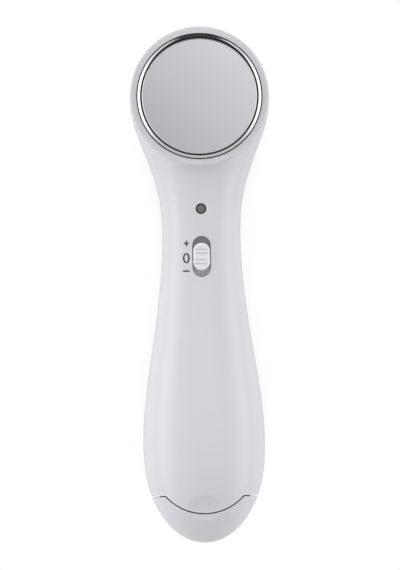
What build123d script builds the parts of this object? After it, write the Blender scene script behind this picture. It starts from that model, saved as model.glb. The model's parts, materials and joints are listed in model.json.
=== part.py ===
from build123d import *
import math
import os

# A hand-held ionic facial massager lying on its back, in millimetres.
# X runs across, Y along the body towards the head, Z out of the round treatment face.

# Body outline
head_r = 21.3
head_to_bulge = 108.6
tail_len = 28.1
back_depth = 14.4
rest_cut = 0.4
bulge_half_width = 18.6
bulge_front = 13.5
neck_half_width = 12.1
neck_front = 8.6
neck_back = 9.5
wall = 2.0
parting_z = back_depth - rest_cut
body_length = head_r + head_to_bulge + tail_len
head_y = body_length / 2 - head_r
bulge_y = head_y - head_to_bulge
tail_tip_y = bulge_y - tail_len

# Down from the head: distance from its centre as a share of its radius, and how much of its size is left
shoulder = [(0.285, 0.940), (0.556, 0.766), (0.841, 0.511), (1.132, 0.272), (1.417, 0.092), (1.723, 0.005)]
shoulder_front = 12.0
shoulder_start = 0.173

# Down to the bulge: share of the way from the head's centre, then how much of the bulge's size is reached
flare = [(0.448, 0.0), (0.575, 0.185), (0.687, 0.451), (0.800, 0.751), (0.900, 0.950)]
head_angles = (80, 62, 42, 21, 0)
end_angles = (18, 36, 52, 66, 80)

# Joint between the two shells
seam_gap = 0.15
lip_height = 1.2
lip_inset = 1.2
lip_wall = 1.0
lip_clearance = 0.1

# Round head, its heights measured from the parting plane
rim_height = 12.4
rim_edge = 0.5
rim_wall = 2.0
web_height = 5.2
web_thickness = 1.8
gasket_thickness = 0.5
tray_thickness = 0.7
tray_inner_wall_height = 5.0
tray_outer_wall_height = 3.6
disc_height = 5.8
disc_plate = 0.8
disc_edge = 0.4
disc_skirt = 0.6
insulator_wall = 0.35
electrode_gap = 0.05
ring_groove = 0.35
ring_width = 0.8
ring_outer_height = 4.7
ring_inner_height = 5.2
ring_crown = 0.05
stud_r = 1.5
stud_length = 10.6
stud_clearance = 0.15
tag_thickness = 0.4
tag_r = 3.2
tag_tail = 7.4
nut_height = 1.9
nut_across_flats = 5.5
ring_tab_width = 2.0
ring_tab_thickness = 0.4
ring_tab_drop = 4.6
tab_clearance = 0.3

# Battery cap and its seam
cap_length = 14.3
cap_wall = 1.8
cap_gap = 0.35
seam_arc_r = 16.0
seam_arc_drop = 5.36
spigot_length = 1.6
spigot_wall = 1.2
spigot_clearance = 0.25
arm_thickness = 1.1
arm_width = 5.0
arm_reach = 8.7
arm_clearance = 0.3
nib = 0.1
nib_length = 1.0
nib_width = 2.0
dimple_drop = 3.65
dimple_depth = 1.0
dimple_width_r = 40.0
dimple_length_r = 12.0
cap_floor_thickness = 1.5
cap_floor_width = 8.4

# Cells and their contacts
cell_r = 5.25
cell_body = 43.7
nub_r = 1.9
nub_len = 0.8
cell_spacing = 11.1
cell_clearance = 0.2
can_edge = 0.4
strip_drop = 2.3
strip_thickness = 0.4
strip_width = 5.2
contact_dimple = 0.6
contact_dimple_r = 1.5
spring_length = 2.7
spring_wire_r = 0.25
spring_turns = 2
spring_points = 48
spring_r = 3.0
spring_small_r = 2.2
plate_thickness = 0.3
plate_r = 5.0
strip_pin_r = 0.8
tab_width = 2.0
tab_length = 3.2
tab_height = 2.6

# Battery holder
holder_wall = 0.9
holder_end_wall = 1.2
holder_mouth_gap = 1.5
holder_window = 5.0
window_from_bulkhead = 7.0
window_from_top = 16.0
bulkhead_drop = 3.2
bulkhead_thickness = 1.2
bulkhead_clearance = 0.3
rib_thickness = 1.2
rib_width = 8.0
upper_rib_drop = 11.2

# Circuit board and what it carries
board_half_width = 8.8
board_thickness = 1.6
board_back_gap = 0.4
board_head_gap = 5.4
board_boss_r = 2.2
board_screw_x = 6.5
board_screw_inset = 3.0
board_foot_screw_inset = 4.0
board_screw_r = 0.8
board_screw_head_r = 1.5
board_screw_head = 1.2
board_screw_bite = 4.0
board_corner = 1.5
screw_fit = 0.05
screw_clearance = 0.15
pilot_extra = 0.5
recess_half = 0.9
recess_width = 0.5
recess_depth = 0.7

# Slide switch
switch_drop = 49.03
switch_travel = 4.0
slot_width = 5.67
knob_width = 5.1
knob_length = 8.35
knob_end_gap = 0.12
knob_proud = 1.0
knob_edge = 0.5
knob_corner = 2.5
knob_grooves = (-2.2, -1.0, 1.0, 2.2)
groove_width = 0.35
groove_depth = 0.4
stem_width = 3.2
stem_length = 4.0
slider_width = 8.6
slider_thickness = 0.8
slider_overlap = 1.4
slider_clearance = 0.15
guide_height = 6.0
guide_margin = 1.2
switch_case_width = 6.8
switch_case_length = 9.0
switch_case_height = 3.2
lever_size = 1.6
lever_sink = 1.6
lever_clearance = 0.15
terminal_pitch = 2.5
terminal_size = 0.5
terminal_hole_r = 0.45
terminal_below = 1.0

# Indicator lamp
lens_drop = 34.4
lens_r = 1.6
lens_fit = 0.05
lens_flange_r = 2.5
lens_flange = 0.7
lens_boss_r = 3.3
lens_recess = 0.1
lens_edge = 0.5
led_r = 1.5
led_height = 3.6
led_flange_r = 1.9
led_flange = 0.6
led_dome = 1.35

# Case screws
screw_side_inset = 10.8
screw_edge_inset = 2.6
lower_screw_gap = 4.4
board_screw_gap = 4.3
case_screw_r = 1.0
case_screw_head_r = 1.9
case_screw_head = 1.4
case_screw_length = 12.0
pillar_r = 3.2
boss_r = 2.7
seat_below_parting = 6.0
lower_seat_below_parting = 8.4
counterbore_clearance = 0.25

# Vibration motor
motor_r = 5.0
motor_length = 15.0
motor_back = 11.0
motor_below_parting = 3.7
motor_nose_r = 2.0
motor_nose = 0.8
shaft_r = 0.5
shaft_fit = 0.05
shaft_buried = 3.0
shaft_reach = 7.0
weight_r = 4.2
weight_gap = 1.5
weight_length = 4.8
weight_hub_r = 1.4
boot_wall = 0.8
boot_length = 9.0
cradle_width = 15.0
cradle_inset = 1.0
clamp_inset = 3.0
clamp_width = 8.0
terminal_spread = 2.2
terminal_reach = 1.6
motor_terminal_width = 1.2
motor_terminal_thickness = 0.3

# Insulated leads
lead_r = 0.45
bend_share = 0.45
pad_inset = 1.4

# Components on the board
chip_width = 3.9
chip_length = 5.0
chip_height = 1.5
chip_gap = 1.6
small_part_x = 6.2
resistor_rows = 3
resistor_size = (0.8, 1.6, 0.5)
transistor_size = (1.3, 2.9, 1.0)
coil_r = 3.8
coil_core_r = 1.6
coil_height = 5.6
coil_flange = 0.8
coil_drop = 4.5
winding_recess = 0.4
capacitor_r = 2.4
capacitor_length = 8.0
capacitor_x = 4.6

# Heights and places worked out from the sizes above
web_z = parting_z + web_height
web_top_z = web_z + web_thickness
tray_z = web_top_z + gasket_thickness
tray_top_z = tray_z + tray_thickness
rim_z = parting_z + rim_height
disc_face_z = tray_top_z + disc_height
stud_end_z = disc_face_z - disc_plate - stud_length
recess_r = head_r - rim_wall
ring_outer_r = recess_r - ring_groove
ring_inner_r = ring_outer_r - ring_width
tray_wall_r = ring_inner_r - electrode_gap - insulator_wall
disc_r = tray_wall_r - electrode_gap
ring_tab_y = head_y - (ring_inner_r + ring_outer_r) / 2
motor_z = parting_z - motor_below_parting
motor_x = -motor_back

seam_y = tail_tip_y + cap_length
seam_arc_y = seam_y - seam_arc_drop + seam_arc_r
cap_contact_y = seam_y - strip_drop
cell_x = cell_spacing / 2
holder_contact_y = cap_contact_y + spring_length + cell_body + nub_len + contact_dimple
holder_top_y = holder_contact_y + plate_thickness + holder_end_wall
holder_mouth_y = cap_contact_y + holder_mouth_gap
tab_end_y = holder_top_y + tab_length - holder_end_wall
tube_r = cell_r + cell_clearance
holder_r = tube_r + holder_wall
bulkhead_y = seam_y + bulkhead_drop
rib_places = (holder_top_y - upper_rib_drop, bulkhead_y - rib_thickness, bulkhead_y + bulkhead_thickness)

lower_screw_y = holder_top_y + lower_screw_gap
upper_screw_x = head_r - screw_side_inset
upper_screw_y = head_y - head_r + screw_edge_inset
case_screws = [
    (-upper_screw_x, upper_screw_y, seat_below_parting),
    (upper_screw_x, upper_screw_y, seat_below_parting),
    (0, lower_screw_y, lower_seat_below_parting),
]
board_z = parting_z - board_back_gap
board_top_z = board_z + board_thickness
board_pilot_z = board_top_z + board_screw_bite + pilot_extra
board_bottom_y = lower_screw_y + board_screw_gap
board_top_y = head_y - head_r - board_head_gap
board_screws = [
    (side * board_screw_x, y)
    for side in (-1, 1)
    for y in (board_bottom_y + board_foot_screw_inset, board_top_y - board_screw_inset)
]

switch_y = head_y - switch_drop
slot_length = knob_length + switch_travel + 2 * knob_end_gap
guide_z = parting_z + guide_height
slider_top_z = guide_z - slider_clearance
slider_z = slider_top_z - slider_thickness
slider_length = slot_length + switch_travel + 2 * slider_overlap
switch_case_top_z = board_top_z + switch_case_height
lens_y = head_y - lens_drop


def station(y, inset=0.0):
    """Half width, front height and back depth of the rounded tail at a place along it."""
    run = (bulge_y - y) / (tail_len - inset)
    share = math.sqrt(1 - run**2)
    return (
        (bulge_half_width - inset) * share,
        (bulge_front - inset) * share,
        (back_depth - inset) * share,
    )


def half_section(y, half_width, height, front):
    """Half an ellipse standing on the parting plane, across the body."""
    plane = Plane(origin=(0, y, parting_z), x_dir=(1, 0, 0), z_dir=(0, -1, 0))
    with BuildSketch(plane) as half:
        with BuildLine():
            EllipticalCenterArc((0, 0), half_width, height, 0 if front else 180, arc_size=180)
            Line((-half_width, 0), (half_width, 0))
        make_face()
    return half.sketch.faces()[0]


def half_form(front, inset=0.0):
    """The front or back half of the handle, drawn in by the inset all round."""
    neck = Vector(neck_half_width - inset, (neck_front if front else neck_back) - inset)
    head = Vector(head_r - inset, (shoulder_front if front else back_depth) - inset)
    bulge = Vector(bulge_half_width - inset, (bulge_front if front else back_depth) - inset)
    places = []
    if front:
        start = head_r * shoulder_start
        places.append((head_y - start, Vector(math.sqrt(head_r**2 - start**2) - inset, head.Y)))
    else:
        for angle in head_angles:
            turn = math.radians(angle)
            places.append((head_y + head.X * math.sin(turn), head * math.cos(turn)))
    for distance, share in shoulder:
        places.append((head_y - distance * head_r, neck + (head - neck) * share))
    for along, share in flare:
        places.append((head_y - along * head_to_bulge, neck + (bulge - neck) * share))
    for angle in (0,) + end_angles:
        turn = math.radians(angle)
        places.append((bulge_y - (tail_len - inset) * math.sin(turn), bulge * math.cos(turn)))
    sections = [half_section(y, size.X, size.Y, front) for y, size in places]
    sections.append(Vertex(0, tail_tip_y + inset, parting_z))
    if not front:
        sections.insert(0, Vertex(0, head_y + head_r - inset, parting_z))
    with BuildPart() as form:
        loft(sections=sections)
    return form.part


def end_form(inset=0.0):
    """The rounded tail end of the handle as one closed form, drawn in by the inset."""
    sections = []
    for angle in (5, 20) + end_angles[1:]:
        y = bulge_y - (tail_len - inset) * math.sin(math.radians(angle))
        half_width, front, back = station(y, inset)
        with BuildSketch(across_y(y)) as section:
            with BuildLine():
                EllipticalCenterArc((0, 0), half_width, front, 0, arc_size=180)
                EllipticalCenterArc((0, 0), half_width, back, 180, arc_size=180)
            make_face()
        sections.append(section.sketch.faces()[0])
    sections.append(Vertex(0, tail_tip_y + inset, parting_z))
    with BuildPart() as form:
        loft(sections=sections)
    return form.part


def parting_face(inset):
    """The body's outline on the parting plane, drawn in by the inset."""
    flat = half_form(False, inset).faces().sort_by(lambda face: abs(face.center().Z - parting_z))[0]
    return Face(flat.outer_wire())


def column(x, y, radius, low, high, mode=Mode.ADD):
    """A round bar standing along Z."""
    with BuildSketch(Plane.XY.offset(low)) as foot:
        with Locations((x, y)):
            Circle(radius)
    extrude(foot.sketch, amount=high - low, mode=mode)


def block(x0, x1, y0, y1, z0, z1, mode=Mode.ADD):
    """A square-cornered bar between two opposite corners."""
    with BuildSketch(Plane.XY.offset(z0)) as foot:
        with Locations(((x0 + x1) / 2, (y0 + y1) / 2)):
            Rectangle(x1 - x0, y1 - y0)
    extrude(foot.sketch, amount=z1 - z0, mode=mode)


def cut_away(low, high):
    """Remove the whole layer between two heights."""
    block(-2 * head_r, 2 * head_r, 2 * tail_tip_y, -2 * tail_tip_y, low, high, Mode.SUBTRACT)


def along_x(y, z, radius, low, high, mode=Mode.ADD):
    """A round bar lying along X."""
    with BuildSketch(Plane.YZ.offset(low)) as end:
        with Locations((y, z)):
            Circle(radius)
    extrude(end.sketch, amount=high - low, mode=mode)


def along_y(x, z, radius, low, high, mode=Mode.ADD):
    """A round bar lying along Y."""
    with BuildSketch(Plane.XZ.offset(-high)) as end:
        with Locations((x, z)):
            Circle(radius)
    extrude(end.sketch, amount=high - low, mode=mode)


def cross_recess(x, y, low):
    """The cross in a screw's head, open downwards."""
    high = low + recess_depth
    for along, across in ((recess_half, recess_width / 2), (recess_width / 2, recess_half)):
        block(x - along, x + along, y - across, y + across, low, high, Mode.SUBTRACT)


def tab_slot(low, high):
    """The opening that lets the ring's contact tab through a layer of the head."""
    block(
        -ring_tab_width / 2 - tab_clearance,
        ring_tab_width / 2 + tab_clearance,
        ring_tab_y - ring_tab_thickness / 2 - tab_clearance,
        ring_tab_y + ring_tab_thickness / 2 + tab_clearance,
        low,
        high,
        Mode.SUBTRACT,
    )


def across_y(y):
    """The plane square to the body at a place along it, its own Y axis pointing up."""
    return Plane(origin=(0, y, parting_z), x_dir=(1, 0, 0), z_dir=(0, -1, 0))


def holder_stadium(radius, top_y, bottom_y, mode=Mode.ADD):
    """A bar along the body with the outline of two cells side by side."""
    with BuildSketch(across_y(top_y)) as end:
        SlotCenterToCenter(cell_spacing, 2 * radius)
    extrude(end.sketch, amount=top_y - bottom_y, mode=mode)


def beside_seam(shift, end, front):
    """Everything from the battery cap's seam to an end, the seam moved towards the head by the shift."""
    level = seam_y + shift
    radius = seam_arc_r - shift
    reach = math.sqrt(radius**2 - (level - seam_arc_y) ** 2)
    side = 2 * head_r
    with BuildPart() as region:
        with BuildSketch(Plane.XY.offset(parting_z)):
            with BuildLine():
                if front:
                    Line((-side, level), (-reach, level))
                    ThreePointArc((-reach, level), (0, seam_arc_y - radius), (reach, level))
                    Line((reach, level), (side, level))
                else:
                    Line((-side, level), (side, level))
                Polyline((side, level), (side, end), (-side, end), (-side, level))
            make_face()
        extrude(amount=2 * parting_z if front else -2 * parting_z)
    return region.part


def thumb_dimple():
    """The shallow scoop that crosses the cap's seam, as the wheel that would grind it."""
    y = seam_y - dimple_drop
    run = (bulge_y - y) / tail_len
    rise = bulge_front * math.sqrt(1 - run**2)
    slope = bulge_front**2 * (bulge_y - y) / (tail_len**2 * rise)
    normal = Vector(0, -slope, 1).normalized()
    along = Vector(0, 1, slope).normalized()
    centre = Vector(0, y, parting_z + rise) + normal * (dimple_width_r - dimple_depth)
    wheel = Plane(origin=centre, x_dir=(1, 0, 0), z_dir=along)
    return wheel * Torus(dimple_width_r - dimple_length_r, dimple_length_r)


def on_board(x, y, size):
    """A small part standing on the front of the board, from its width, length and height."""
    width, length, height = size
    block(x - width / 2, x + width / 2, y - length / 2, y + length / 2, board_top_z, board_top_z + height)


def save(part, name):
    """Label one finished piece and write its file."""
    part.label = name
    export_step(part, f"parts/{name}.step")
    print(name, round(part.volume, 1))


os.makedirs("parts", exist_ok=True)
scoop = thumb_dimple()
skin = wall / 4
front_skin = half_form(True, skin)
back_skin = half_form(False, skin)

# Front shell: neck and bulge, the round head, bosses, guides and the lip
with BuildPart() as front_cavity:
    add(half_form(True, wall))
    column(0, head_y, head_r, web_z, rim_z, Mode.SUBTRACT)
    column(0, head_y, head_r - wall, parting_z, web_z)

with BuildPart() as front_fittings:
    for x, y, seat in case_screws:
        column(x, y, boss_r, parting_z, rim_z)
    for x, y in board_screws:
        column(x, y, board_boss_r, board_top_z, rim_z)
    column(0, lens_y, lens_boss_r, guide_z, rim_z)
    block(
        -slider_width / 2 - guide_margin,
        slider_width / 2 + guide_margin,
        switch_y - slot_length / 2 - guide_margin,
        switch_y + slot_length / 2 + guide_margin,
        guide_z,
        rim_z,
    )
    for y in rib_places:
        block(-rib_width / 2, rib_width / 2, y, y + rib_thickness, parting_z, rim_z)
    add(front_skin, mode=Mode.INTERSECT)
    holder_stadium(holder_r, holder_top_y, seam_y, Mode.SUBTRACT)
    column(0, head_y, head_r - wall / 2, web_z, rim_z, Mode.SUBTRACT)

with BuildPart() as lip:
    down = (0, 0, -1)
    extrude(parting_face(lip_inset), amount=lip_height, dir=down, both=True)
    extrude(parting_face(lip_inset + lip_wall), amount=lip_height, dir=down, both=True, mode=Mode.SUBTRACT)
    block(-head_r, head_r, tail_tip_y, seam_y + spigot_clearance, 0, rim_z, Mode.SUBTRACT)
    block(-head_r, head_r, tail_tip_y, -tail_tip_y, parting_z + lip_height / 2, rim_z, Mode.SUBTRACT)

with BuildPart() as front_shell:
    add(half_form(True))
    column(0, head_y, head_r, parting_z, rim_z)
    fillet(front_shell.edges().filter_by(GeomType.CIRCLE).sort_by(Axis.Z)[-1], radius=rim_edge)
    add(front_cavity.part, mode=Mode.SUBTRACT)
    add(front_fittings.part)
    add(lip.part)
    column(0, head_y, recess_r, web_top_z, rim_z, Mode.SUBTRACT)
    column(0, head_y, stud_r + stud_clearance, web_z, web_top_z, Mode.SUBTRACT)
    tab_slot(web_z, web_top_z)
    block(
        motor_x + clamp_inset,
        motor_x + boot_length - clamp_inset,
        head_y - clamp_width / 2,
        head_y + clamp_width / 2,
        motor_z + motor_r + boot_wall,
        web_z + wall / 2,
    )
    add(beside_seam(cap_gap / 2, 2 * tail_tip_y, True), mode=Mode.SUBTRACT)
    add(scoop, mode=Mode.SUBTRACT)
    with BuildSketch(Plane.XY.offset(parting_z)):
        with Locations((0, switch_y)):
            SlotOverall(slot_length, slot_width, rotation=90)
    extrude(amount=rim_height, mode=Mode.SUBTRACT)
    column(0, lens_y, lens_r + lens_fit, parting_z, rim_z, Mode.SUBTRACT)
    for x, y, seat in case_screws:
        pilot_top = parting_z - seat + case_screw_length + pilot_extra
        column(x, y, case_screw_r + screw_fit, parting_z, pilot_top, Mode.SUBTRACT)
    for x, y in board_screws:
        column(x, y, board_screw_r + screw_fit, board_top_z, board_pilot_z, Mode.SUBTRACT)
save(front_shell.part, "front_shell")

# Back shell: one smooth form with the rebate, screw pillars, motor cradle and holder ribs,
# cut flat where it touches the table so that the massager doesn't roll
with BuildPart() as back_fittings:
    for x, y, seat in case_screws:
        column(x, y, pillar_r, 0, parting_z)
    for y in rib_places:
        block(-rib_width / 2, rib_width / 2, y, y + rib_thickness, 0, parting_z)
    for x in (motor_x + cradle_inset, motor_x + boot_length - rib_thickness - cradle_inset):
        block(x, x + rib_thickness, head_y - cradle_width / 2, head_y + cradle_width / 2, 0, motor_z)
    add(back_skin, mode=Mode.INTERSECT)
    holder_stadium(holder_r, holder_top_y, seam_y, Mode.SUBTRACT)
    with BuildSketch(Plane.YZ.offset(motor_x)):
        with Locations((head_y, motor_z)):
            Circle(motor_r + boot_wall)
    extrude(amount=motor_length, mode=Mode.SUBTRACT)

with BuildPart() as back_shell:
    add(half_form(False))
    add(half_form(False, wall), mode=Mode.SUBTRACT)
    extrude(parting_face(lip_inset - lip_clearance), amount=lip_height, dir=(0, 0, -1), mode=Mode.SUBTRACT)
    add(back_fittings.part)
    cut_away(parting_z - seam_gap, rim_z)
    for x, y, seat in case_screws:
        column(x, y, pillar_r, parting_z - 2 * seam_gap, parting_z)
        column(x, y, case_screw_head_r + counterbore_clearance, 0, parting_z - seat, Mode.SUBTRACT)
        column(x, y, case_screw_r + screw_clearance, parting_z - seat, parting_z, Mode.SUBTRACT)
    cut_away(-wall, 0)
    add(beside_seam(cap_gap / 2, 2 * tail_tip_y, False), mode=Mode.SUBTRACT)
save(back_shell.part, "back_shell")

# Battery cap: the rounded end of the body with a spigot, two latch arms and a contact floor
strip_y = cap_contact_y - strip_thickness
spigot_half, _, spigot_back = station(seam_y, wall + spigot_clearance)
arm_outer = spigot_half - spigot_clearance

with BuildPart() as cap_fittings:
    block(
        -head_r,
        head_r,
        strip_y - cap_floor_thickness,
        strip_y,
        parting_z - cap_floor_width / 2,
        parting_z + cap_floor_width / 2,
    )
    with BuildSketch(across_y(seam_y + spigot_length)) as spigot_end:
        for inset, mode in ((0, Mode.ADD), (spigot_wall, Mode.SUBTRACT)):
            with BuildLine():
                EllipticalCenterArc((0, 0), spigot_half - inset, spigot_back - inset, 180, arc_size=180)
                Line((inset - spigot_half, 0), (spigot_half - inset, 0))
            make_face(mode=mode)
    extrude(amount=spigot_length + seam_y - strip_y)
    for side in (-1, 1):
        inner = side * (arm_outer - arm_thickness)
        tip_y = seam_y + arm_reach
        low_z = parting_z - arm_width / 2
        block(*sorted((side * arm_outer, inner)), seam_y - strip_drop, tip_y, low_z, low_z + arm_width)
        block(*sorted((side * (arm_outer + nib), inner)), tip_y - nib_length, tip_y,
              parting_z - nib_width / 2, parting_z + nib_width / 2)
    along_y(0, parting_z, strip_pin_r, strip_y - cap_floor_thickness, cap_contact_y + strip_thickness)
    add(end_form(cap_wall / 4), mode=Mode.INTERSECT)

with BuildPart() as battery_cap:
    add(end_form())
    add(end_form(cap_wall), mode=Mode.SUBTRACT)
    add(beside_seam(-cap_gap / 2, 2 * head_y, True), mode=Mode.SUBTRACT)
    add(beside_seam(-cap_gap / 2, 2 * head_y, False), mode=Mode.SUBTRACT)
    add(cap_fittings.part)
    add(scoop, mode=Mode.SUBTRACT)
save(battery_cap.part, "battery_cap")

# Treatment head: pressed disc with its stud, bright ring, insulating tray and gasket
with BuildPart() as electrode_disc:
    skirt_x = disc_r - disc_skirt
    plate_z = disc_face_z - disc_plate
    with BuildSketch(Plane.XZ.offset(-head_y)) as disc_section:
        with BuildLine():
            Polyline(
                (0, stud_end_z),
                (stud_r, stud_end_z),
                (stud_r, plate_z),
                (skirt_x, plate_z),
                (skirt_x, tray_top_z),
                (disc_r, tray_top_z),
                (disc_r, disc_face_z),
                (0, disc_face_z),
                close=True,
            )
        make_face()
        fillet(disc_section.vertices().sort_by(Axis.X)[-2:].sort_by(Axis.Y)[-1], radius=disc_edge)
    revolve(axis=Axis((0, head_y, 0), (0, 0, 1)))
save(electrode_disc.part, "electrode_disc")

with BuildPart() as trim_ring:
    middle_r = (ring_inner_r + ring_outer_r) / 2
    middle_height = (ring_inner_height + ring_outer_height) / 2 + ring_crown
    with BuildSketch(Plane.XZ.offset(-head_y)):
        with BuildLine():
            Polyline(
                (ring_outer_r, tray_top_z + ring_outer_height),
                (ring_outer_r, tray_top_z),
                (ring_inner_r, tray_top_z),
                (ring_inner_r, tray_top_z + ring_inner_height),
            )
            ThreePointArc(
                (ring_inner_r, tray_top_z + ring_inner_height),
                (middle_r, tray_top_z + middle_height),
                (ring_outer_r, tray_top_z + ring_outer_height),
            )
        make_face()
    revolve(axis=Axis((0, head_y, 0), (0, 0, 1)))
    block(
        -ring_tab_width / 2,
        ring_tab_width / 2,
        ring_tab_y - ring_tab_thickness / 2,
        ring_tab_y + ring_tab_thickness / 2,
        tray_top_z - ring_tab_drop,
        tray_top_z,
    )
save(trim_ring.part, "trim_ring")

with BuildPart() as electrode_tray:
    tray_r = recess_r - electrode_gap
    inner_wall_z = tray_top_z + tray_inner_wall_height
    outer_wall_z = tray_top_z + tray_outer_wall_height
    column(0, head_y, tray_r, tray_z, outer_wall_z)
    column(0, head_y, ring_outer_r + electrode_gap, tray_top_z, outer_wall_z, Mode.SUBTRACT)
    column(0, head_y, tray_wall_r + insulator_wall, tray_top_z, inner_wall_z)
    column(0, head_y, tray_wall_r, tray_top_z, inner_wall_z, Mode.SUBTRACT)
    column(0, head_y, stud_r + stud_clearance, tray_z, tray_top_z, Mode.SUBTRACT)
    tab_slot(tray_z, tray_top_z)
save(electrode_tray.part, "electrode_tray")

with BuildPart() as head_gasket:
    column(0, head_y, recess_r - 2 * electrode_gap, web_top_z, tray_z)
    column(0, head_y, stud_r + stud_clearance, web_top_z, tray_z, Mode.SUBTRACT)
    tab_slot(web_top_z, tray_z)
save(head_gasket.part, "head_gasket")

with BuildPart() as solder_tag:
    tag_z = web_z - tag_thickness
    column(0, head_y, tag_r, tag_z, web_z)
    block(-tab_width / 2, tab_width / 2, head_y - tag_tail, head_y, tag_z, web_z)
    column(0, head_y, stud_r + stud_clearance, tag_z, web_z, Mode.SUBTRACT)
save(solder_tag.part, "solder_tag")

with BuildPart() as electrode_nut:
    nut_z = tag_z - nut_height
    with BuildSketch(Plane.XY.offset(nut_z)):
        with Locations((0, head_y)):
            RegularPolygon(nut_across_flats / 2, 6, major_radius=False)
            Circle(stud_r, mode=Mode.SUBTRACT)
    extrude(amount=nut_height)
save(electrode_nut.part, "electrode_nut")

# Indicator lamp: clear lens in the shell and the lamp on the board below it
with BuildPart() as lamp_lens:
    lens_top_z = parting_z + neck_front - lens_recess
    column(0, lens_y, lens_flange_r, guide_z - lens_flange, guide_z)
    column(0, lens_y, lens_r, guide_z, lens_top_z)
    fillet(lamp_lens.edges().sort_by(Axis.Z)[-1], radius=lens_edge)
save(lamp_lens.part, "lamp_lens")

with BuildPart() as indicator_lamp:
    column(0, lens_y, led_flange_r, board_top_z, board_top_z + led_flange)
    column(0, lens_y, led_r, board_top_z + led_flange, board_top_z + led_height)
    fillet(indicator_lamp.edges().sort_by(Axis.Z)[-1], radius=led_dome)
save(indicator_lamp.part, "indicator_lamp")

# Slide switch: thumb knob, its cover plate, and the switch on the board
with BuildPart() as switch_knob:
    knob_top_z = parting_z + neck_front + knob_proud
    with BuildSketch(Plane.XY.offset(slider_top_z)):
        with Locations((0, switch_y)):
            RectangleRounded(knob_width, knob_length, knob_corner)
    extrude(amount=knob_top_z - slider_top_z)
    fillet(switch_knob.faces().sort_by(Axis.Z)[-1].edges(), radius=knob_edge)
    for shift in knob_grooves:
        low_y = switch_y + shift - groove_width / 2
        low_z = knob_top_z - groove_depth
        block(-knob_width, knob_width, low_y, low_y + groove_width, low_z, knob_top_z, Mode.SUBTRACT)
    y = switch_y - stem_length / 2
    block(-stem_width / 2, stem_width / 2, y, y + stem_length, slider_z, slider_top_z)
    socket = lever_size / 2
    block(-socket, socket, switch_y - socket, switch_y + socket, slider_z, slider_top_z, Mode.SUBTRACT)
save(switch_knob.part, "switch_knob")

with BuildPart() as slider_plate:
    block(-slider_width / 2, slider_width / 2, switch_y - slider_length / 2, switch_y + slider_length / 2,
          slider_z, slider_top_z)
    block(-stem_width / 2, stem_width / 2, y, y + stem_length, slider_z, slider_top_z, Mode.SUBTRACT)
save(slider_plate.part, "slider_plate")

with BuildPart() as switch_lever:
    lever_z = switch_case_top_z - lever_sink
    block(-socket, socket, switch_y - socket, switch_y + socket, lever_z, slider_top_z)
save(switch_lever.part, "switch_lever")

with BuildPart() as switch_case:
    half_length = switch_case_length / 2
    on_board(0, switch_y, (switch_case_width, switch_case_length, switch_case_height))
    window = socket + switch_travel / 2 + lever_clearance
    side = socket + lever_clearance
    block(-side, side, switch_y - window, switch_y + window, lever_z, switch_case_top_z, Mode.SUBTRACT)
save(switch_case.part, "switch_case")

with BuildPart() as switch_terminals:
    for step in (-1, 0, 1):
        y = switch_y + step * terminal_pitch
        half = terminal_size / 2
        block(-half, half, y - half, y + half, board_z - terminal_below, board_top_z)
save(switch_terminals.part, "switch_terminals")

# Circuit board with its screws
with BuildPart() as circuit_board:
    middle_y = (board_bottom_y + board_top_y) / 2
    with BuildSketch(Plane.XY.offset(board_z)):
        with Locations((0, middle_y)):
            RectangleRounded(2 * board_half_width, board_top_y - board_bottom_y, board_corner)
        with Locations(board_screws):
            Circle(board_screw_r + screw_clearance, mode=Mode.SUBTRACT)
        with Locations([(0, switch_y + step * terminal_pitch) for step in (-1, 0, 1)]):
            Circle(terminal_hole_r, mode=Mode.SUBTRACT)
    extrude(amount=board_thickness)
save(circuit_board.part, "circuit_board")

with BuildPart() as board_screw_set:
    for x, y in board_screws:
        column(x, y, board_screw_head_r, board_z - board_screw_head, board_z)
        column(x, y, board_screw_r, board_z, board_top_z + board_screw_bite)
        cross_recess(x, y, board_z - board_screw_head)
save(board_screw_set.part, "board_screws")

with BuildPart() as case_screw_set:
    for x, y, seat in case_screws:
        seat_z = parting_z - seat
        column(x, y, case_screw_head_r, seat_z - case_screw_head, seat_z)
        column(x, y, case_screw_r, seat_z, seat_z + case_screw_length)
        cross_recess(x, y, seat_z - case_screw_head)
save(case_screw_set.part, "case_screws")

# Components on the board: chip and small parts in front, coil and capacitor behind
with BuildPart() as control_chip:
    chip_y = switch_y - half_length - chip_gap
    on_board(0, chip_y - chip_length / 2, (chip_width, chip_length, chip_height))
save(control_chip.part, "control_chip")

with BuildPart() as resistor_set:
    low_y = board_bottom_y + board_foot_screw_inset + board_boss_r
    high_y = switch_y + half_length - transistor_size[1] / 2
    for row in range(resistor_rows):
        y = low_y + (high_y - low_y) * (row + 1) / (resistor_rows + 1)
        for side in (-1, 1):
            on_board(side * small_part_x, y, resistor_size)
save(resistor_set.part, "resistors")

with BuildPart() as transistor_set:
    for side in (-1, 1):
        on_board(side * small_part_x, switch_y + half_length, transistor_size)
save(transistor_set.part, "transistors")

coil_y = lens_y - coil_drop
coil_low_z = board_z - coil_height
with BuildPart() as coil_core:
    column(0, coil_y, coil_core_r, coil_low_z, board_z)
    column(0, coil_y, coil_r, coil_low_z, coil_low_z + coil_flange)
    column(0, coil_y, coil_r, board_z - coil_flange, board_z)
save(coil_core.part, "coil_core")

with BuildPart() as coil_winding:
    column(0, coil_y, coil_r - winding_recess, coil_low_z + coil_flange, board_z - coil_flange)
    column(0, coil_y, coil_core_r, coil_low_z + coil_flange, board_z - coil_flange, Mode.SUBTRACT)
save(coil_winding.part, "coil_winding")

with BuildPart() as capacitor:
    with BuildSketch(Plane.XZ.offset(-(chip_y + capacitor_length))):
        with Locations((-capacitor_x, board_z - capacitor_r)):
            Circle(capacitor_r)
    extrude(amount=capacitor_length)
    fillet(capacitor.edges(), radius=can_edge)
save(capacitor.part, "capacitor")

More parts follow.
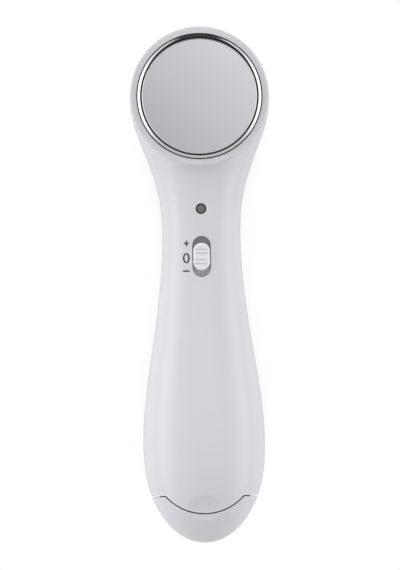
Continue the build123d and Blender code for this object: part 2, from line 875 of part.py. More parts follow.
# Vibration motor: can, rubber boot, terminals, shaft and off-centre weight
motor_end_x = motor_x + motor_length
with BuildPart() as motor_can:
    along_x(head_y, motor_z, motor_r, motor_x, motor_end_x)
    fillet(motor_can.edges(), radius=can_edge)
    along_x(head_y, motor_z, motor_nose_r, motor_end_x, motor_end_x + motor_nose)
    bore_x = motor_end_x - shaft_buried
    along_x(head_y, motor_z, shaft_r + shaft_fit, bore_x, motor_end_x + motor_nose, Mode.SUBTRACT)
save(motor_can.part, "motor_can")

with BuildPart() as motor_boot:
    along_x(head_y, motor_z, motor_r + boot_wall, motor_x, motor_x + boot_length)
    along_x(head_y, motor_z, motor_r, motor_x, motor_x + boot_length, Mode.SUBTRACT)
save(motor_boot.part, "motor_boot")

with BuildPart() as motor_terminal_set:
    for side in (-1, 1):
        y = head_y + side * terminal_spread
        low_z = motor_z - motor_terminal_thickness / 2
        block(motor_x - terminal_reach, motor_x, y - motor_terminal_width / 2, y + motor_terminal_width / 2,
              low_z, low_z + motor_terminal_thickness)
save(motor_terminal_set.part, "motor_terminals")

with BuildPart() as motor_shaft:
    along_x(head_y, motor_z, shaft_r, bore_x + shaft_fit, motor_end_x + shaft_reach)
save(motor_shaft.part, "motor_shaft")

with BuildPart() as eccentric_weight:
    weight_x = motor_end_x + weight_gap
    with BuildSketch(Plane.YZ.offset(weight_x)):
        with Locations((head_y, motor_z)):
            Circle(weight_r)
            with Locations((0, weight_r)):
                Rectangle(2 * weight_r, 2 * weight_r, mode=Mode.SUBTRACT)
            Circle(weight_hub_r)
            Circle(shaft_r, mode=Mode.SUBTRACT)
    extrude(amount=weight_length)
save(eccentric_weight.part, "eccentric_weight")

# Battery holder: two tubes side by side, an end wall for the contacts and a bulkhead at the mouth
with BuildPart() as battery_holder:
    holder_stadium(holder_r, holder_top_y, holder_mouth_y)
    edge_half, edge_front, edge_back = station(bulkhead_y, wall + bulkhead_clearance)
    with BuildSketch(across_y(bulkhead_y + bulkhead_thickness)):
        with BuildLine():
            EllipticalCenterArc((0, 0), edge_half, edge_front, 0, arc_size=180)
            EllipticalCenterArc((0, 0), edge_half, edge_back, 180, arc_size=180)
        make_face()
    extrude(amount=bulkhead_thickness)
    bore_end_y = holder_contact_y + plate_thickness
    for side in (-1, 1):
        along_y(side * cell_x, parting_z, tube_r, holder_mouth_y, bore_end_y, Mode.SUBTRACT)
        x = side * cell_x
        half = tab_width / 2 + tab_clearance / 2
        low_z = parting_z + tab_height - tab_clearance / 2
        block(x - half, x + half, bore_end_y, holder_top_y, low_z, low_z + plate_thickness + tab_clearance,
              Mode.SUBTRACT)
        block(x - holder_window / 2, x + holder_window / 2,
              bulkhead_y + window_from_bulkhead, holder_top_y - window_from_top,
              parting_z - holder_r, parting_z, Mode.SUBTRACT)
        inner = side * (arm_outer - arm_thickness - arm_clearance)
        outer = side * (arm_outer + nib + arm_clearance)
        low_z = parting_z - arm_width / 2 - arm_clearance
        block(*sorted((inner, outer)), bulkhead_y, bulkhead_y + bulkhead_thickness,
              low_z, low_z + arm_width + 2 * arm_clearance, Mode.SUBTRACT)
    block(-cell_x, cell_x, holder_mouth_y, bore_end_y, parting_z - holder_window / 2,
          parting_z + holder_window / 2, Mode.SUBTRACT)
save(battery_holder.part, "battery_holder")


def cell(x, foot_y, up):
    """One round cell lying along Y, its raised pole towards the head or away from it."""
    with BuildPart() as can:
        along_y(x, parting_z, cell_r, foot_y, foot_y + cell_body)
        fillet(can.edges(), radius=can_edge)
        if up:
            along_y(x, parting_z, nub_r, foot_y + cell_body, foot_y + cell_body + nub_len)
        else:
            along_y(x, parting_z, nub_r, foot_y - nub_len, foot_y)
    return can.part


left_foot_y = cap_contact_y + spring_length
right_foot_y = cap_contact_y + contact_dimple + nub_len
save(cell(-cell_x, left_foot_y, True), "cell_left")
save(cell(cell_x, right_foot_y, False), "cell_right")


def end_contact(x, dimple):
    """The contact plate at the inner end of one tube, with its solder tab through the end wall."""
    with BuildPart() as contact:
        along_y(x, parting_z, plate_r, holder_contact_y, bore_end_y)
        if dimple:
            along_y(x, parting_z, contact_dimple_r, holder_contact_y - contact_dimple, holder_contact_y)
        low_z = parting_z + tab_height
        half = tab_width / 2
        block(x - half, x + half, holder_contact_y, tab_end_y, low_z, low_z + plate_thickness)
    return contact.part


save(end_contact(-cell_x, True), "positive_contact")
save(end_contact(cell_x, False), "negative_contact")

with BuildPart() as cap_contact:
    with BuildSketch(across_y(cap_contact_y)):
        SlotCenterToCenter(cell_spacing, strip_width)
        Circle(strip_pin_r + electrode_gap, mode=Mode.SUBTRACT)
    extrude(amount=strip_thickness)
    along_y(cell_x, parting_z, contact_dimple_r, cap_contact_y, cap_contact_y + contact_dimple)
save(cap_contact.part, "cap_contact")


def biarc(start, heading, end, leaving):
    """Two arcs that meet smoothly between two points with given directions."""
    span = end - start
    both = heading + leaving
    bend = 2 * (1 - heading.dot(leaving))
    reach = (math.sqrt(span.dot(both) ** 2 + bend * span.dot(span)) - span.dot(both)) / bend
    first = start + heading * reach
    second = end - leaving * reach
    middle = (first + second) * 0.5
    TangentArc(start, middle, tangent=heading)
    TangentArc(middle, end, tangent=second - first)


def contact_spring(name, x, wide_y, narrow_y):
    """A conical contact spring, its wide end on the plate and its narrow end on the cell."""
    sense = 1 if narrow_y > wide_y else -1
    rise = abs(narrow_y - wide_y) - 2 * spring_wire_r
    turn = 2 * math.pi * spring_turns

    def place(share):
        angle = turn * share
        radius = spring_r + (spring_small_r - spring_r) * share
        y = wide_y + sense * (spring_wire_r + rise * share)
        return Vector(x + radius * math.cos(angle), y, parting_z + radius * math.sin(angle))

    def direction(share):
        angle = turn * share
        radius = spring_r + (spring_small_r - spring_r) * share
        inward = spring_small_r - spring_r
        across = inward * math.cos(angle) - radius * turn * math.sin(angle)
        up = inward * math.sin(angle) + radius * turn * math.cos(angle)
        return Vector(across, sense * rise, up).normalized()

    quarters = 4 * spring_turns
    with BuildPart() as spring:
        with BuildLine() as wire:
            for quarter in range(quarters):
                here = quarter / quarters
                there = (quarter + 1) / quarters
                biarc(place(here), direction(here), place(there), direction(there))
        with BuildSketch(Plane(origin=place(0), z_dir=direction(0))):
            Circle(spring_wire_r)
        sweep(path=wire.line)
    steps = spring_points * spring_turns
    points = [place(step / steps) for step in range(steps + 1)]
    gaps = [
        (points[i] - points[j]).length - 2 * spring_wire_r
        for i in range(steps + 1)
        for j in range(i + spring_points // 2, steps + 1)
    ]
    print(name, "least gap between curls", round(min(gaps), 2))
    save(spring.part, name)


contact_spring("cap_spring", -cell_x, cap_contact_y, left_foot_y)
contact_spring("holder_spring", cell_x, holder_contact_y, right_foot_y + cell_body)


def lead(name, routes):
    """Insulated leads of one kind, each a round tube along its own smooth route."""
    tubes = []
    for points in routes:
        corners = [Vector(*point) for point in points]
        radii = []
        for before, corner, after in zip(corners, corners[1:], corners[2:]):
            arriving = corner - before
            going = after - corner
            bend = math.radians(arriving.get_angle(going))
            radii.append(bend_share * min(arriving.length, going.length) / math.tan(bend / 2))
        with BuildPart() as tube:
            with BuildLine() as route:
                FilletPolyline(*corners, radius=radii)
            with BuildSketch(Plane(origin=route.line @ 0, z_dir=route.line % 0)):
                Circle(lead_r)
            sweep(path=route.line)
        print(name, "radii", [round(radius, 1) for radius in radii])
        tubes.append(tube.part)
    with BuildPart() as leads:
        for tube in tubes:
            add(tube)
    save(leads.part, name)


# Leads, each lying on the tab that it starts from and on the board where it ends
tab_lead_z = parting_z + tab_height + plate_thickness + lead_r
board_front_z = board_top_z + lead_r
board_back_z = board_z - lead_r


def cell_lead_route(side):
    """From a contact tab over the board's lower edge to its pad."""
    return [
        (side * cell_x, tab_end_y - 1.6, tab_lead_z),
        (side * cell_x, tab_end_y + 2.2, tab_lead_z),
        (side * (cell_x - 1.6), tab_end_y + 5.8, tab_lead_z - 0.7),
        (side * (cell_x - 2.4), board_bottom_y + 2.2, board_front_z),
        (side * (cell_x - 2.4), board_bottom_y + 5.0, board_front_z),
    ]


lead("battery_lead_red", [cell_lead_route(-1)])
lead("battery_lead_black", [cell_lead_route(1)])

pad_y = board_top_y - pad_inset
motor_lead_z = motor_z + motor_terminal_thickness / 2 + lead_r
lead(
    "motor_leads",
    [
        [
            (-12.1, head_y - terminal_spread + 0.5, motor_lead_z),
            (-12.3, head_y - 8.0, motor_lead_z),
            (-7.5, head_y - 13.2, motor_lead_z + 0.3),
            (-4.5, head_y - 19.2, motor_lead_z + 1.0),
            (-3.4, pad_y + 3.6, board_back_z),
            (-3.4, pad_y, board_back_z),
        ],
        [
            (-12.1, head_y + terminal_spread + 0.5, motor_lead_z),
            (-14.6, head_y - 2.4, motor_lead_z),
            (-14.0, head_y - 8.8, motor_lead_z),
            (-8.4, head_y - 14.1, motor_lead_z + 0.3),
            (-5.8, head_y - 19.8, motor_lead_z + 1.0),
            (-4.8, pad_y + 3.6, board_back_z),
            (-4.8, pad_y, board_back_z),
        ],
    ],
)

tag_lead_z = tag_z - lead_r
lead(
    "electrode_lead",
    [
        [
            (0, head_y - 4.6, tag_lead_z),
            (0, head_y - 10.0, tag_lead_z),
            (2.0, head_y - 16.0, tag_lead_z - 0.9),
            (3.4, pad_y + 5.4, board_front_z + 0.3),
            (3.4, pad_y, board_front_z),
        ],
    ],
)

ring_lead_y = ring_tab_y - ring_tab_thickness / 2 - lead_r
lead(
    "ring_lead",
    [
        [
            (0, ring_lead_y, web_z - 0.3),
            (-0.5, ring_lead_y - 1.8, web_z - 2.7),
            (-1.2, ring_lead_y - 5.4, board_front_z),
            (-1.2, pad_y, board_front_z),
        ],
    ],
)
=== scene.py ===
import json
import math

import bpy
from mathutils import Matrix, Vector


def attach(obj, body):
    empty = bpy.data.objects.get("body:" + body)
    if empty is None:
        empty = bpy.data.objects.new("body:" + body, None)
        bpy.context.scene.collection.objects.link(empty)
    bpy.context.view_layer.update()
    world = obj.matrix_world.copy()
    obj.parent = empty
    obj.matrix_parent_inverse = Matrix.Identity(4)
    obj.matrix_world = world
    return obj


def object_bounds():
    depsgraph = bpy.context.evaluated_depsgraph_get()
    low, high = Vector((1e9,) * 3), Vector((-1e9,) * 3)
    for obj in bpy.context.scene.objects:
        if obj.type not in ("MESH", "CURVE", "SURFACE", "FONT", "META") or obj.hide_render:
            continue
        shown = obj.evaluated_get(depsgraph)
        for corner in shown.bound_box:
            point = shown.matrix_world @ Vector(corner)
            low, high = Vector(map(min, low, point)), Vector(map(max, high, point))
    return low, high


# A hand-held ionic facial massager seen from straight above, lying on its back.
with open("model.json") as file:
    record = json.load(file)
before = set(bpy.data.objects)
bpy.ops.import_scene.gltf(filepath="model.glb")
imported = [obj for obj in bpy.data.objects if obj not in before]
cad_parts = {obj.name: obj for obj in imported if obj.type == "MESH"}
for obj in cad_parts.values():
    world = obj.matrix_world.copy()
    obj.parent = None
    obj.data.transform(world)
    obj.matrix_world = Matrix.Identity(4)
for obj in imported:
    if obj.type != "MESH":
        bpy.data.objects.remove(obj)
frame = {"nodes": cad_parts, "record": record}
cad_low, cad_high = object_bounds()
mm = 0.001
um = 1e-6
scene = bpy.context.scene
scene.view_settings.view_transform = "Standard"

# Camera: straight down from far away, turned a little as in the photograph
image_width, image_height = 400, 570
pixels_per_mm = 3.263
camera_height = 5.5
camera_roll = math.radians(0.79)
body_centre_px = (202.0, 284.8)
outline_z = 14 * mm
sensor = 36.0
nearest_shown, farthest_shown = 0.05, 20.0


def add_camera():
    """The photograph's view of the whole body, in a frame of the photograph's shape."""
    distance = camera_height - outline_z
    shown_height = image_height / pixels_per_mm * mm
    data = bpy.data.cameras.new("camera")
    data.sensor_width = sensor
    data.lens = sensor * distance / shown_height
    data.clip_start = nearest_shown
    data.clip_end = farthest_shown
    camera = bpy.data.objects.new("camera", data)
    scene.collection.objects.link(camera)
    aside = Vector((image_width / 2 - body_centre_px[0], body_centre_px[1] - image_height / 2, 0))
    aside = aside * (mm / pixels_per_mm)
    camera.location = Vector((aside.x, aside.y, camera_height))
    camera.rotation_euler = (0, 0, -camera_roll)
    scene.camera = camera


class Nodes:
    """A short way to write a node tree: each call adds a node and links what it is given."""

    def __init__(self, tree):
        tree.nodes.clear()
        self.tree = tree

    def fill(self, socket, value):
        """Link another node's output to a socket, or set the socket's own value."""
        if isinstance(value, bpy.types.NodeSocket):
            self.tree.links.new(value, socket)
        else:
            socket.default_value = value

    def add(self, kind, inputs=(), **settings):
        """A node of a kind, with its inputs by name or place and its settings."""
        node = self.tree.nodes.new(kind)
        for key, value in settings.items():
            setattr(node, key, value)
        for key, value in dict(inputs).items():
            self.fill(node.inputs[key], value)
        return node

    def math(self, operation, *values):
        """The result of a sum on one or more values."""
        return self.add("ShaderNodeMath", enumerate(values), operation=operation).outputs[0]

    def total(self, first, *pairs):
        """The first value plus each pair's product."""
        for value, factor in pairs:
            first = self.math("MULTIPLY_ADD", value, factor, first)
        return first

    def squares(self, x, y):
        """The squares of two values, added up."""
        return self.total(self.math("MULTIPLY", x, x), (y, y))

    def radius(self, x, y):
        """How far from the middle a place is."""
        return self.math("SQRT", self.squares(x, y))

    def rise(self, value, low, high):
        """From 0 below the low value to 1 above the high one, softly."""
        inputs = {"Value": value, "From Min": low, "From Max": high}
        return self.add("ShaderNodeMapRange", inputs, interpolation_type="SMOOTHSTEP").outputs[0]

    def spread(self, value, low, high):
        """A value from 0 to 1 carried over to a range."""
        inputs = {"Value": value, "To Min": low, "To Max": high}
        return self.add("ShaderNodeMapRange", inputs).outputs[0]

    def noise(self, size, detail=2.0):
        """Smooth noise from 0 to 1 whose features are about the given size in metres."""
        place = self.add("ShaderNodeTexCoord").outputs["Object"]
        inputs = {"Scale": 1 / size, "Detail": detail, "Vector": place}
        return self.add("ShaderNodeTexNoise", inputs).outputs[0]

    def blend(self, factor, first, second):
        """Two colours mixed by a factor."""
        node = self.add("ShaderNodeMix", data_type="RGBA")
        for index, value in ((0, factor), (6, first), (7, second)):
            self.fill(node.inputs[index], value)
        return node.outputs[2]

    def from_middle(self, name):
        """Sideways and lengthwise distance from the middle of a CAD piece, in its own axes."""
        place = self.add("ShaderNodeTexCoord").outputs["Object"]
        parts = self.add("ShaderNodeSeparateXYZ", {0: place}).outputs
        middle, _ = box_of(name)
        return [self.math("SUBTRACT", parts[axis], middle[axis]) for axis in (0, 1)]


def box_of(name):
    """Middle and half size of a CAD piece, in its own axes."""
    corners = [Vector(corner) for corner in frame["nodes"][name].bound_box]
    low = Vector([min(corner[axis] for corner in corners) for axis in range(3)])
    high = Vector([max(corner[axis] for corner in corners) for axis in range(3)])
    return (low + high) / 2, (high - low) / 2


def rgb(red, green, blue):
    """A colour in linear light."""
    return (red, green, blue, 1.0)


def shade(colour, by):
    """A colour made lighter or darker by a factor."""
    return rgb(*(min(1.0, part * by) for part in colour[:3]))


# Tones that change over a piece, painted shade and a painted highlight among them
window_r = 1.6 * mm
window_clear_r, window_rim_r = 0.66 * window_r, 0.82 * window_r
# Painted shade round the rim of the lamp window
window_rim_shade = rgb(0.022, 0.022, 0.026)
# Painted highlight along the knob's rounded edge
knob_edge_highlight = rgb(0.95, 0.95, 0.98)
highlight_starts, highlight_full = 0.75 * mm, 0.35 * mm
slider_pale = rgb(0.93, 0.925, 0.945)
# Painted shade at the plus end of the plate in the slot
slider_grey = shade(slider_pale, 0.58)
slider_shade_fade = 3 * mm
bare_steel = rgb(0.6, 0.6, 0.6)
terminal_share, jacket_share = 0.65, 0.7
side_facing, end_facing = 0.6, 0.75
dome_radius = 250 * mm


def lens_shaded_rim(nodes, colour):
    """Painted shade: dark round the edge of the lamp window, standing in for the shaded wall of the
    hole seen through the clear rim.
    """
    edge = nodes.rise(nodes.radius(*nodes.from_middle("lamp_lens")), window_clear_r, window_rim_r)
    return nodes.blend(edge, colour, window_rim_shade)


def knob_highlight(nodes, colour):
    """A painted highlight: a little paler along the rounded edge of the knob, where its rim catches the
    light.
    """
    _, half = box_of("switch_knob")
    x, y = nodes.from_middle("switch_knob")
    straight = half.y - half.x
    past = nodes.math("MAXIMUM", nodes.math("SUBTRACT", nodes.math("ABSOLUTE", y), straight), 0.0)
    edge = nodes.rise(nodes.radius(x, past), half.x - highlight_starts, half.x - highlight_full)
    return nodes.blend(edge, colour, knob_edge_highlight)


def slider_shade(nodes, colour):
    """Painted shade: greyer toward the plus end of the plate that shows in the slot, under the slot's
    upper wall.
    """
    _, y = nodes.from_middle("slider_plate")
    return nodes.blend(nodes.rise(y, -slider_shade_fade, slider_shade_fade), colour, slider_grey)


def bare_can(nodes):
    """1 on the flat ends of a cell and on its small terminal, and 0 on its jacket."""
    place = nodes.add("ShaderNodeTexCoord")
    x, _, z = nodes.add("ShaderNodeSeparateXYZ", {0: place.outputs["Object"]}).outputs
    _, along, _ = nodes.add("ShaderNodeSeparateXYZ", {0: place.outputs["Normal"]}).outputs
    middle, half = box_of("cell_right")
    across = nodes.math("SUBTRACT", nodes.math("ABSOLUTE", x), abs(middle.x))
    up = nodes.math("SUBTRACT", z, middle.z)
    radius = nodes.radius(across, up)
    jacket = nodes.rise(radius, terminal_share * half.z, jacket_share * half.z)
    end = nodes.rise(nodes.math("ABSOLUTE", along), side_facing, end_facing)
    return nodes.math("MAXIMUM", end, nodes.math("SUBTRACT", 1.0, jacket))


def cell_tone(nodes, colour):
    """Bare steel at a cell's ends."""
    return nodes.blend(bare_can(nodes), colour, bare_steel)


def disc_dome(nodes):
    """Height of a slight dome over the treatment disc."""
    square = nodes.squares(*nodes.from_middle("electrode_disc"))
    return nodes.math("MULTIPLY", square, -1 / (2 * dome_radius))


# Finishes, by the names of the record's material slots
looks = {}
patch_detail = 3.0
fine_to_patch = 1 / 4


def finish(name, colour, rough, mottle, patch, swing, grain, depth, tone=None, form=None, **fixed):
    """A moulded or metal finish: slight patches of tone, uneven gloss and a fine skin.

    The tone swings by the share mottle over patches of the given size, and the roughness by
    swing. The skin has bumps of the size grain and the height depth. A tone and a form are
    functions that add a change of colour and of height over the piece.
    """
    material = bpy.data.materials.new(name)
    material.use_nodes = True
    nodes = Nodes(material.node_tree)
    patches = nodes.noise(patch, patch_detail)
    fine = nodes.noise(patch * fine_to_patch)
    gloss = nodes.total(nodes.math("MULTIPLY", patches, 0.5), (fine, 0.5))
    base = nodes.blend(patches, shade(colour, 1 - mottle), shade(colour, 1 + mottle))
    skin = {"Height": nodes.noise(grain), "Strength": 1.0, "Distance": depth}
    if form:
        bump = nodes.add("ShaderNodeBump", {"Height": form(nodes), "Distance": 1.0})
        skin["Normal"] = bump.outputs[0]
    inputs = {
        "Base Color": tone(nodes, base) if tone else base,
        "Roughness": nodes.spread(gloss, max(0.0, rough - swing), rough + swing),
        "Normal": nodes.add("ShaderNodeBump", skin).outputs[0],
    }
    for key, value in fixed.items():
        inputs[key] = value(nodes) if callable(value) else value
    surface = nodes.add("ShaderNodeBsdfPrincipled", inputs)
    nodes.add("ShaderNodeOutputMaterial", {"Surface": surface.outputs[0]})
    looks[name] = material


# Outside
finish("shell_white", rgb(0.76, 0.758, 0.796), rough=0.2, mottle=0.012, patch=14 * mm, swing=0.03,
       grain=0.5 * mm, depth=0.5 * um)
finish("knob_white", rgb(0.895, 0.89, 0.935), rough=0.25, mottle=0.012, patch=3 * mm, swing=0.03,
       grain=0.3 * mm, depth=0.6 * um, tone=knob_highlight)
finish("disc_steel", rgb(0.545, 0.549, 0.576), rough=0.2, mottle=0.02, patch=12 * mm, swing=0.03,
       grain=0.25 * mm, depth=0.15 * um, form=disc_dome, Metallic=1.0)
finish("ring_chrome", rgb(0.6, 0.6, 0.61), rough=0.05, mottle=0.02, patch=4 * mm, swing=0.02,
       grain=0.4 * mm, depth=0.1 * um, Metallic=1.0)
finish("insulator_black", rgb(0.004, 0.004, 0.005), rough=0.6, mottle=0.2, patch=3 * mm, swing=0.08,
       grain=0.3 * mm, depth=2 * um, IOR=1.25)
finish("slider_grey", slider_pale, rough=0.5, mottle=0.04, patch=3 * mm, swing=0.06,
       grain=0.3 * mm, depth=2 * um, tone=slider_shade)
finish("lens_clear", rgb(0.15, 0.148, 0.145), rough=0.12, mottle=0.1, patch=1.2 * mm, swing=0.03,
       grain=0.3 * mm, depth=0.5 * um, tone=lens_shaded_rim)
finish("print_grey", rgb(0.015, 0.015, 0.02), rough=0.5, mottle=0.15, patch=0.5 * mm, swing=0.06,
       grain=0.1 * mm, depth=1 * um)

# Inside
finish("seal_rubber", rgb(0.04, 0.04, 0.042), rough=0.7, mottle=0.15, patch=3 * mm, swing=0.08,
       grain=0.3 * mm, depth=4 * um)
finish("boot_rubber", rgb(0.09, 0.09, 0.095), rough=0.7, mottle=0.15, patch=3 * mm, swing=0.08,
       grain=0.3 * mm, depth=4 * um)
finish("lamp_clear", rgb(0.7, 0.72, 0.7), rough=0.1, mottle=0.05, patch=2 * mm, swing=0.03,
       grain=0.3 * mm, depth=0.5 * um)
finish("board_green", rgb(0.02, 0.16, 0.07), rough=0.32, mottle=0.25, patch=2 * mm, swing=0.06,
       grain=0.4 * mm, depth=5 * um)
finish("chip_black", rgb(0.02, 0.02, 0.02), rough=0.5, mottle=0.15, patch=1 * mm, swing=0.06,
       grain=0.1 * mm, depth=3 * um)
finish("ferrite", rgb(0.06, 0.06, 0.065), rough=0.6, mottle=0.2, patch=1 * mm, swing=0.08,
       grain=0.1 * mm, depth=5 * um)
finish("copper_wire", rgb(0.6, 0.25, 0.1), rough=0.3, mottle=0.15, patch=1 * mm, swing=0.06,
       grain=0.2 * mm, depth=8 * um, Metallic=1.0)
finish("tinned_steel", rgb(0.66, 0.66, 0.68), rough=0.32, mottle=0.06, patch=2 * mm, swing=0.08,
       grain=0.2 * mm, depth=2 * um, Metallic=1.0)
finish("screw_steel", rgb(0.55, 0.55, 0.57), rough=0.3, mottle=0.08, patch=1.5 * mm, swing=0.08,
       grain=0.2 * mm, depth=2 * um, Metallic=1.0)
finish("contact_nickel", rgb(0.7, 0.69, 0.65), rough=0.24, mottle=0.05, patch=2 * mm, swing=0.06,
       grain=0.2 * mm, depth=1 * um, Metallic=1.0)
finish("motor_steel", rgb(0.58, 0.58, 0.6), rough=0.34, mottle=0.06, patch=3 * mm, swing=0.08,
       grain=0.3 * mm, depth=2 * um, Metallic=1.0)
finish("weight_metal", rgb(0.36, 0.36, 0.38), rough=0.45, mottle=0.1, patch=1.5 * mm, swing=0.08,
       grain=0.2 * mm, depth=4 * um, Metallic=1.0)
finish("cell_jacket", rgb(0.03, 0.13, 0.28), rough=0.28, mottle=0.06, patch=6 * mm, swing=0.05,
       grain=0.4 * mm, depth=1 * um, tone=cell_tone, Metallic=bare_can)
finish("can_blue", rgb(0.04, 0.06, 0.18), rough=0.3, mottle=0.1, patch=2 * mm, swing=0.05,
       grain=0.3 * mm, depth=1 * um)
finish("lead_red", rgb(0.5, 0.02, 0.02), rough=0.4, mottle=0.08, patch=2 * mm, swing=0.05,
       grain=0.3 * mm, depth=2 * um)
finish("lead_black", rgb(0.02, 0.02, 0.02), rough=0.4, mottle=0.1, patch=2 * mm, swing=0.05,
       grain=0.3 * mm, depth=2 * um)
finish("lead_white", rgb(0.7, 0.7, 0.68), rough=0.4, mottle=0.04, patch=2 * mm, swing=0.05,
       grain=0.3 * mm, depth=2 * um)


def dress_pieces():
    """Give every CAD piece the look that the record names for it."""
    for part in frame["record"]["subparts"]:
        node = frame["nodes"][part["node"]]
        node.data.materials.clear()
        node.data.materials.append(looks[part["material_slot"]])


# Printed marks beside the switch, in millimetres: thin layers that follow the shell's surface
ink, ink_proud = 0.03, 0.02
looked_down_from = 100
column_x = -4.7
plus_x, plus_y, plus_width, plus_height, plus_stroke = column_x + 0.1, 12.7, 1.5, 1.75, 0.42
nought_y, nought_width, nought_height, nought_stroke = 8.2, 2.1, 3.15, 0.52
minus_x, minus_y, minus_width, minus_stroke = column_x - 0.05, 4.25, 2.1, 0.46
end_thinning = 0.8
bar_steps, nought_steps = 8, 48


def front_height(x, y):
    """Height of the front shell's outer surface over a place."""
    shell = frame["nodes"]["front_shell"]
    found, point, _, _ = shell.ray_cast(Vector((x, y, looked_down_from * mm)), Vector((0, 0, -1)))
    return point.z if found else cad_high.z


def printed(name, places, faces):
    """A flat mark made from points in X and Y, laid on the shell and given a thickness of ink."""
    points = [(x * mm, y * mm, front_height(x * mm, y * mm) + ink_proud * mm) for x, y in places]
    mesh = bpy.data.meshes.new(name)
    mesh.from_pydata(points, [], faces)
    mesh.materials.append(looks["print_grey"])
    piece = bpy.data.objects.new(name, mesh)
    scene.collection.objects.link(piece)
    layer = piece.modifiers.new("ink", "SOLIDIFY")
    layer.thickness = ink * mm
    layer.offset = -1
    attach(piece, "housing")


def bar(x, y, width, height):
    """A straight stroke as a row of small quads."""
    places = []
    for step in range(bar_steps + 1):
        along = step / bar_steps - 0.5
        if width > height:
            places.append((x + along * width, y - height / 2))
            places.append((x + along * width, y + height / 2))
        else:
            places.append((x + width / 2, y + along * height))
            places.append((x - width / 2, y + along * height))
    faces = [(2 * i, 2 * i + 2, 2 * i + 3, 2 * i + 1) for i in range(bar_steps)]
    return places, faces


def nought(x, y, width, height, stroke):
    """The figure nought as an upright oval ring, its stroke a little thinner at top and bottom."""
    outer = (width / 2, height / 2)
    inner = (width / 2 - stroke, height / 2 - stroke * end_thinning)
    places = []
    faces = []
    for step in range(nought_steps):
        turn = 2 * math.pi * step / nought_steps
        for half_width, half_height in (outer, inner):
            places.append((x + half_width * math.cos(turn), y + half_height * math.sin(turn)))
        here, there = 2 * step, 2 * ((step + 1) % nought_steps)
        faces.append((here, there, there + 1, here + 1))
    return places, faces


def add_marks():
    """Plus, nought and minus in a column on the left of the slot."""
    printed("mark_plus_across", *bar(plus_x, plus_y, plus_width, plus_stroke))
    printed("mark_plus_up", *bar(plus_x, plus_y, plus_stroke, plus_height))
    printed("mark_nought", *nought(column_x, nought_y, nought_width, nought_height, nought_stroke))
    printed("mark_minus", *bar(minus_x, minus_y, minus_width, minus_stroke))


# Floor: the reach of the object's shade and how open a place must be to show white
floor_half = 4.0
floor_level = -0.1 * mm
floor_dark, floor_light = rgb(0.49, 0.49, 0.49), rgb(0.51, 0.51, 0.51)
floor_mottle_size = 3 * mm
shade_reach = 30 * mm
shade_samples = 8
closed_in, open_enough = 0.05, 0.55
mirror_falloff = 2.0
# Painted light: how much the floor glows under the body to light its underside
under_body_glow = 0.25
full_white = rgb(1, 1, 1)


def floor_look():
    """White to the camera and to metal, shaded near the body, clear from below, matt to other light
    except under the body, where it glows a little as a painted fill light on the underside.
    """
    material = bpy.data.materials.new("floor_pale")
    material.use_nodes = True
    nodes = Nodes(material.node_tree)
    tone = nodes.blend(nodes.noise(floor_mottle_size, patch_detail), floor_dark, floor_light)
    matt = nodes.add("ShaderNodeBsdfDiffuse", {"Color": tone, "Roughness": 0.5})
    glow = nodes.add("ShaderNodeEmission", {"Color": full_white, "Strength": 1.0})
    clear = nodes.add("ShaderNodeBsdfTransparent")
    rays = nodes.add("ShaderNodeLightPath").outputs
    shading = nodes.add("ShaderNodeAmbientOcclusion", {"Distance": shade_reach}, samples=shade_samples)
    open_round = shading.outputs["AO"]
    direct = nodes.math("MAXIMUM", rays["Is Camera Ray"], rays["Is Transmission Ray"])
    clear_of_body = nodes.rise(open_round, closed_in, open_enough)
    mirrored = nodes.math("POWER", open_round, mirror_falloff)
    # Painted fill light: the floor glows where the body closes it in
    fill = nodes.total(under_body_glow, (clear_of_body, -under_body_glow))
    seen = nodes.total(0.0, (direct, clear_of_body), (rays["Is Glossy Ray"], mirrored),
                       (rays["Is Diffuse Ray"], fill))
    mixed = nodes.add("ShaderNodeMixShader", {0: seen, 1: matt.outputs[0], 2: glow.outputs[0]})
    below = nodes.add("ShaderNodeNewGeometry").outputs["Backfacing"]
    one_sided = nodes.add("ShaderNodeMixShader", {0: below, 1: mixed.outputs[0], 2: clear.outputs[0]})
    nodes.add("ShaderNodeOutputMaterial", {"Surface": one_sided.outputs[0]})
    return material


def add_floor():
    """A wide pale floor just under the body."""
    corners = [
        (-floor_half, -floor_half, floor_level),
        (floor_half, -floor_half, floor_level),
        (floor_half, floor_half, floor_level),
        (-floor_half, floor_half, floor_level),
    ]
    mesh = bpy.data.meshes.new("floor")
    mesh.from_pydata(corners, [], [(0, 1, 2, 3)])
    mesh.materials.append(floor_look())
    floor = bpy.data.objects.new("floor", mesh)
    scene.collection.objects.link(floor)


# Light all round. A direction is a unit vector, so each range below is of its X, Y or Z.
panel_edge = (0.61, 0.91)
panel_foot = (-0.15, 0.15)
end_edge = (0.2, 0.9)
# What matt surfaces see: an even level, and what each side adds to it
even_level = 0.24
left_light, right_light, head_light, tail_light = 2.62, 2.2, 1.07, 0.36
# What metal sees: white, and what each form adds to it or takes from it
left_gloss, right_gloss, overhead_gloss, tail_gloss, card_gloss = 1.38, 1.15, 0.95, -0.2, -0.92
gloss_foot = (0.1, 0.35)
overhead_edge = (0.9, 0.97)
tail_wall_edge = (0.45, 0.75)
card_edge = (-0.15, 0.17)
card_top, card_top_edge = 0.85, (0.0, 0.1)
card_slope, card_widens, card_widening = 0.45, 2.0, (0.5, 0.74)


def side_panels(nodes, x, z):
    """1 on the bright panels at the left and at the right, and 0 elsewhere."""
    above_floor = nodes.rise(z, *panel_foot)
    toward_left = nodes.math("MULTIPLY", x, -1.0)
    return [
        nodes.math("MULTIPLY", nodes.rise(outward, *panel_edge), above_floor)
        for outward in (toward_left, x)
    ]


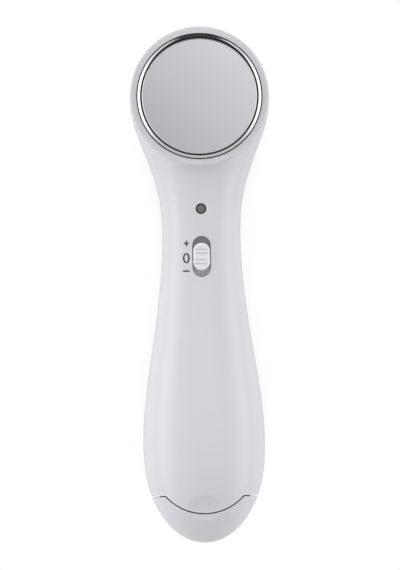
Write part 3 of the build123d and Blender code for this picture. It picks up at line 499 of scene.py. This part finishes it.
def dark_card(nodes, x, y, z):
    """1 on a card beyond the head, wider higher up as far as its top, and 0 elsewhere."""
    slope = nodes.total(card_slope, (nodes.rise(z, *card_widening), card_widens))
    aside = nodes.math("ABSOLUTE", x)
    within = nodes.total(nodes.math("MULTIPLY", y, slope), (aside, -1.0))
    under_top = nodes.rise(nodes.math("SUBTRACT", card_top, z), *card_top_edge)
    return nodes.math("MULTIPLY", nodes.rise(within, *card_edge), under_top)


def add_world():
    """A white studio: a bright panel at each side, more light from beyond the head than from the tail.

    Metal shows it white, with the panels, a dark card beyond the head and a greyer wall at the tail.
    """
    world = bpy.data.worlds.new("studio")
    scene.world = world
    world.use_nodes = True
    nodes = Nodes(world.node_tree)
    direction = nodes.add("ShaderNodeTexCoord").outputs["Generated"]
    x, y, z = nodes.add("ShaderNodeSeparateXYZ", {0: direction}).outputs
    toward_tail = nodes.math("MULTIPLY", y, -1.0)
    left, right = side_panels(nodes, x, z)
    head = nodes.rise(y, *end_edge)
    tail = nodes.rise(toward_tail, *end_edge)
    soft = nodes.total(even_level, (left, left_light), (right, right_light),
                       (head, head_light), (tail, tail_light))

    raised = nodes.rise(z, *gloss_foot)
    left_high = nodes.math("MULTIPLY", left, raised)
    right_high = nodes.math("MULTIPLY", right, raised)
    overhead = nodes.math("MULTIPLY", nodes.rise(z, *overhead_edge), nodes.math("ADD", x, y))
    tail_wall = nodes.rise(toward_tail, *tail_wall_edge)
    card = dark_card(nodes, x, y, z)
    shown = nodes.total(1.0, (left_high, left_gloss), (right_high, right_gloss),
                        (overhead, overhead_gloss), (tail_wall, tail_gloss), (card, card_gloss))

    rays = nodes.add("ShaderNodeLightPath").outputs
    level = nodes.add("ShaderNodeMix", {0: rays["Is Glossy Ray"], 2: soft, 3: shown}).outputs[0]
    lit = nodes.add("ShaderNodeBackground", {"Color": full_white, "Strength": level})
    plain = nodes.add("ShaderNodeBackground", {"Color": full_white, "Strength": 1.0})
    direct = nodes.math("MAXIMUM", rays["Is Camera Ray"], rays["Is Transmission Ray"])
    mixed = nodes.add("ShaderNodeMixShader", {0: direct, 1: lit.outputs[0], 2: plain.outputs[0]})
    nodes.add("ShaderNodeOutputWorld", {"Surface": mixed.outputs[0]})


add_camera()
dress_pieces()
add_marks()
add_floor()
add_world()
